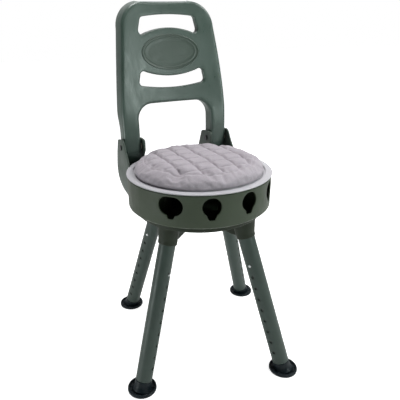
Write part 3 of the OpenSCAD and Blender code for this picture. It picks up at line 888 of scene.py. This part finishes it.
DRUM_R = RING_R - 1.8 * MM
DRUM_WALL = 4 * MM
DRUM_TOP = SEAT_Z - 3.4 * MM
DRUM_BOTTOM = DRUM_TOP - 86 * MM
BAND = (464 * MM, 525 * MM)            # the part of the wall that the keyholes lie in
KEY_R, KEY_Z = 23, 500
KEYHOLES = ((-45, 17), (-15, 0), (15, 0), (45, 0))
NOTCH = (15, 0.62 * KEY_R, 7, KEY_R + 9)  # half width and drop at its top, then at its foot


def keyhole_outline(turn, extra):
    """A round hole with a tapered notch under it, listed clockwise on the unrolled wall."""
    top, top_drop, foot, foot_drop = NOTCH
    side, fall = top - extra / 2, foot_drop - top_drop
    a = (top - foot) ** 2 + fall ** 2
    b = 2 * (top_drop * fall - side * (top - foot))
    c = side ** 2 + top_drop ** 2 - KEY_R ** 2
    t = (-b + math.sqrt(b * b - 4 * a * c)) / (2 * a)
    start = math.atan2(-(top_drop + fall * t), side - (top - foot) * t)
    sweep = np.linspace(start, math.pi / 2, 30)
    right = np.stack([extra / 2 + KEY_R * np.cos(sweep), KEY_R * np.sin(sweep)], 1)
    loop = np.concatenate([right, right[::-1] * (-1, 1), [(-foot, -foot_drop), (foot, -foot_drop)]])
    loop = relaxed(dense(loop, 1.5), 2)[::-1]
    return (loop + (math.radians(turn) * DRUM_R / MM, KEY_Z)) * MM


def lathe_mm(build, corners, steps=240, closed=False):
    """A profile of (r, z, corner radius) in millimetres turned about Z."""
    build.lathe(arc_outline([(r * MM, z * MM, q * MM) for r, z, q in corners], 15, closed), steps)


CHEEK_REAR = [(196, 590), (201, 586), (204, 578), (217, 549), (227, 513), (229, 497), (224, 478), (209, 462),
              (190, 453), (170, 447), (120, 442)]
OUTER_CHEEK = [(99, 542), (110, 552), (126.5, 572), (138, 590), (143, 595),
               (152, 598)] + CHEEK_REAR + [(93, 442)]
INNER_CHEEK = [(151, 535), (151, 546), (136, 564), (136, 588), (141, 594), (164, 595)] + CHEEK_REAR[:-1] + [
    (157, 446), (164, 475), (164, 535)]
CHEEK_BACK = [(224.5, 504), (228.3, 504), (229, 497), (224, 478), (209, 462), (190, 453), (180, 449.6),
              (180, 454.4), (187.5, 457.5), (205, 466), (219.5, 480), (224.5, 498)]
CHEEK_OUT = 163.8


def make_drum():
    """The drum with its keyholes, ribs and bosses, and its hinge brackets as a second mesh."""
    build = Build()
    r, inner, low = DRUM_R / MM, (DRUM_R - DRUM_WALL) / MM, DRUM_BOTTOM / MM
    holes = [keyhole_outline(turn, extra) for turn, extra in KEYHOLES]
    pierced_wall(build, DRUM_R, DRUM_WALL, *BAND, holes, 240, 6 * MM, 1.0 * MM)
    base, top = BAND[0] / MM, BAND[1] / MM
    lathe_mm(build, [(r, top, 0), (r, 528, 0.7), (r - 1.6, 528, 0.4), (r - 1.6, DRUM_TOP / MM, 0.5),
                     (inner, DRUM_TOP / MM, 0.5), (inner, top, 0)])
    lathe_mm(build, [(inner, base, 0), (inner, low + 5, 3), (120, low + 5, 2), (120, low + 15.5, 2),
                     (57, low + 15.5, 4), (57, 526.6, 0.6), (54, 526.6, 0.6), (54, low + 15.5, 2),
                     (12.05, low + 15.5, 0.6), (12.05, low + 10.5, 0.6), (116, low + 10.5, 1),
                     (116, low, 1), (r - 9, low, 3),
                     (r - 4.2, low + 0.4, 2), (r, low + 4.6, 3.2), (r, base, 0)])
    for k in range(12):
        a = math.pi / 6 * k
        out, side = np.array([math.cos(a), math.sin(a)]), np.array([-math.sin(a), math.cos(a)])

        def place(u, v, d, out=out, side=side):
            at = u[:, None] * out + (d - 2 * MM)[:, None] * side
            return np.concatenate([at, v[:, None]], 1)
        rib = [(119, low + 4), (r - 3, low + 4), (r - 3, 526.4), (119, 526.4)]
        add_plate(build, rib, 4 * MM, place, 0.6 * MM)
    for k in range(6):
        a = math.radians(30 + 60 * k)
        boss = Matrix.Translation((140 * MM * math.cos(a), 140 * MM * math.sin(a), 0))
        build.lathe([(0.01 * MM, (low + 3) * MM), (6 * MM, (low + 3) * MM), (6 * MM, 525.8 * MM),
                     (5.4 * MM, 526.4 * MM), (0.01 * MM, 526.4 * MM)], 24, boss)
    brackets = Build()
    for side in (-1, 1):
        def plate_at(x):
            return lambda u, v, d: np.stack([side * (x * MM - d), u, v], 1)
        add_plate(brackets, OUTER_CHEEK, 4.2 * MM, plate_at(CHEEK_OUT), 1.3 * MM, soft=3)
        add_plate(brackets, INNER_CHEEK, 6 * MM, plate_at(106.4), 1.1 * MM, soft=3)
        add_plate(brackets, CHEEK_BACK, 61.4 * MM, plate_at(CHEEK_OUT - 0.8), 1.2 * MM, soft=1)
        arc = np.linspace(math.atan2(157, 102.4), math.atan2(92, 162.4), 14)
        floor = [(186 * math.cos(a), 186 * math.sin(a)) for a in arc] + [(162.4, 190), (102.8, 190)]

        def floor_place(u, v, d, side=side):
            lift = np.interp(v / MM, [120, 170, 190], [0, 5, 11]) * MM
            return np.stack([side * u, v, 446.5 * MM + lift - d], 1)
        add_plate(brackets, floor, 4.4 * MM, floor_place, 1 * MM, 8 * MM, soft=1)
    brackets.piece("brackets", "moulded_shell", "seat", look="brackets")
    build.piece("drum", "moulded_shell", "seat", ["seat_drum"])


make_drum()

# ---------------------------------------------------------------- legs, hub and feet

LEG_Z, LEG_R0 = 446 * MM, 122.5 * MM
SPLAY = math.radians(19.2)
LEG_TURNS = [math.radians(a) for a in (302.65, 32.65, 122.65, 212.65)]
TUBE_R, TUBE_WALL = 22 * MM, 2.5 * MM


def leg_frame(i):
    """A leg's own frame: origin at the top of its axis, -Z down the leg."""
    return (Matrix.Rotation(LEG_TURNS[i], 4, "Z") @ Matrix.Translation((LEG_R0, 0, LEG_Z))
            @ Matrix.Rotation(-SPLAY, 4, "Y"))


HOLE_COUNT = 9                         # height holes in each side of an outer leg tube
HOLE_FIRST = 151                       # millimetres down the tube to the first of them
HOLE_STEP = 32.2
HOLE_R = 4.25 * MM


def make_tubes():
    """The outer leg tubes with their rows of height holes."""
    build = Build()
    circle = np.linspace(0, -2 * math.pi, 21)[:-1]
    holes = []
    for side in (-1, 1):
        for k in range(HOLE_COUNT):
            z = -(HOLE_FIRST + HOLE_STEP * k) * MM
            holes.append(np.stack([side * math.pi / 2 * TUBE_R + HOLE_R * np.cos(circle),
                                   z + HOLE_R * np.sin(circle)], 1))
    low, high = -443 * MM, -34 * MM
    pierced_wall(build, TUBE_R, TUBE_WALL, low, high, holes, 40, 4.5 * MM, 0.5 * MM)
    r, inner = TUBE_R / MM, (TUBE_R - TUBE_WALL) / MM
    lathe_mm(build, [(r, -34, 0), (r, -31, 0.8), (inner, -31, 0.8), (inner, -34, 0)], 40)
    lathe_mm(build, [(inner, -443, 0), (inner, -446, 0.8), (r, -446, 0.9), (r, -443, 0)], 40)
    first = None
    for i in range(4):
        matrix = leg_frame(i) @ Matrix.Rotation(math.pi / 2, 4, "Z")
        if first is None:
            first = build.piece("tube_1", "leg_tube_coat", "base", ["leg_tube_1"])
            local = first.data.copy()
            first.data.transform(matrix)
            continue
        mesh = local.copy()
        mesh.transform(matrix)
        add_piece(f"tube_{i + 1}", mesh, "leg_tube_coat", "base", [f"leg_tube_{i + 1}"])


make_tubes()


def make_hub():
    """Disc, boss, ribs and leg sockets, run together with soft fillets like a moulding."""
    build = Build()
    top = DRUM_BOTTOM / MM - 3
    disc = [(0.1, top - 0.8, 0), (168.8, top - 0.8, 2), (169.8, top - 15, 3), (0.1, top - 15, 0)]
    lathe_mm(build, disc, 96)
    lathe_mm(build, [(0.1, top - 10, 0), (34, top - 10, 0), (33.5, top - 56.4, 2), (0.1, top - 56.4, 0)], 40)
    for i in range(4):
        turn = LEG_TURNS[i]
        out, side = np.array([math.cos(turn), math.sin(turn)]), np.array([-math.sin(turn), math.cos(turn)])
        post = Matrix.Rotation(turn, 4, "Z") @ Matrix.Translation((143.6 * MM, 0, 0))
        build.lathe([(0.1 * MM, 384 * MM), (24.6 * MM, 384 * MM), (24.6 * MM, 436 * MM),
                     (0.1 * MM, 436 * MM)], 40, post)
        build.lathe([(0.1 * MM, -76 * MM), (24.2 * MM, -76 * MM), (25 * MM, -75 * MM), (25 * MM, -18 * MM),
                     (0.1 * MM, -18 * MM)], 40, leg_frame(i))

        def place(u, v, d, out=out, side=side):
            at = u[:, None] * out + (d - 9 * MM)[:, None] * side
            return np.concatenate([at, v[:, None]], 1)
        web = [(0, 432), (138, 432), (128, 374), (106, 373.5), (84, 379), (62, 387), (30, 389), (0, 389)]
        add_plate(build, web, 18 * MM, place, 2 * MM)
    # Its look is the shell plastic darkened as painted shade.
    hub = build.piece("hub", "moulded_shell", "base", ["base_hub"], look="hub")
    remesh = hub.modifiers.new("remesh", "REMESH")
    remesh.mode = "VOXEL"
    remesh.voxel_size = 2.4 * MM
    smooth = hub.modifiers.new("smooth", "SMOOTH")
    smooth.factor = 0.5
    smooth.iterations = 5
    apply_modifiers(hub)
    hub.data.polygons.foreach_set("use_smooth", [True] * len(hub.data.polygons))
    return hub


make_hub()


FOOT_SPOKES = 12


def make_feet():
    """The dished feet, flat on the floor, and the sockets that hold the inner tubes."""
    foot_place = LEG_R0 + LEG_Z * math.tan(SPLAY)
    for i in range(4):
        build = Build()
        at = Matrix.Rotation(LEG_TURNS[i], 4, "Z") @ Matrix.Translation((foot_place, 0, 0))
        build.lathe([(r * MM, z * MM) for r, z in (
            (0.2, 5), (20, 4.8), (26, 4.1), (30.6, 4), (32.2, 4.6), (33, 6), (33.6, 7.6), (34.6, 8.4),
            (35.8, 8.4), (37.2, 7.7), (38.1, 6.2), (38.3, 4.4), (38.3, 2), (37.8, 0.8), (36.6, 0.1),
            (34, 0), (0.2, 0))], 72, at)
        for k in range(FOOT_SPOKES):
            a = 2 * math.pi * k / FOOT_SPOKES
            spoke = at @ Matrix.Rotation(a, 4, "Z")
            rows = []
            for r, h in ((20, 5.6), (27, 5.2), (33.4, 6.8)):
                rows.append([spoke @ Vector(p) for p in (
                    (r * MM, -1.1 * MM, 3 * MM), (r * MM, -0.7 * MM, h * MM), (r * MM, 0.7 * MM, h * MM),
                    (r * MM, 1.1 * MM, 3 * MM))])
            build.strip(rows)
            build.cap(rows[0][::-1])
            build.cap(rows[-1])
        first = len(build.points)
        build.lathe([(r * MM, z * MM) for r, z in (
            (0.2, -449), (19.3, -449), (19.4, -446.9), (20.2, -446.5), (21.6, -446.5), (22.3, -447),
            (22.6, -448.5), (22.6, -456), (22.9, -461), (24, -466), (26.5, -471), (28, -476),
            (0.2, -476))], 48, leg_frame(i))
        build.points[first:] = [(p[0], p[1], max(p[2], 0.5 * MM)) for p in build.points[first:]]
        build.piece(f"foot_pad_{i + 1}", "foot_rubber", f"leg_{i + 1}", [f"foot_{i + 1}"])


make_feet()
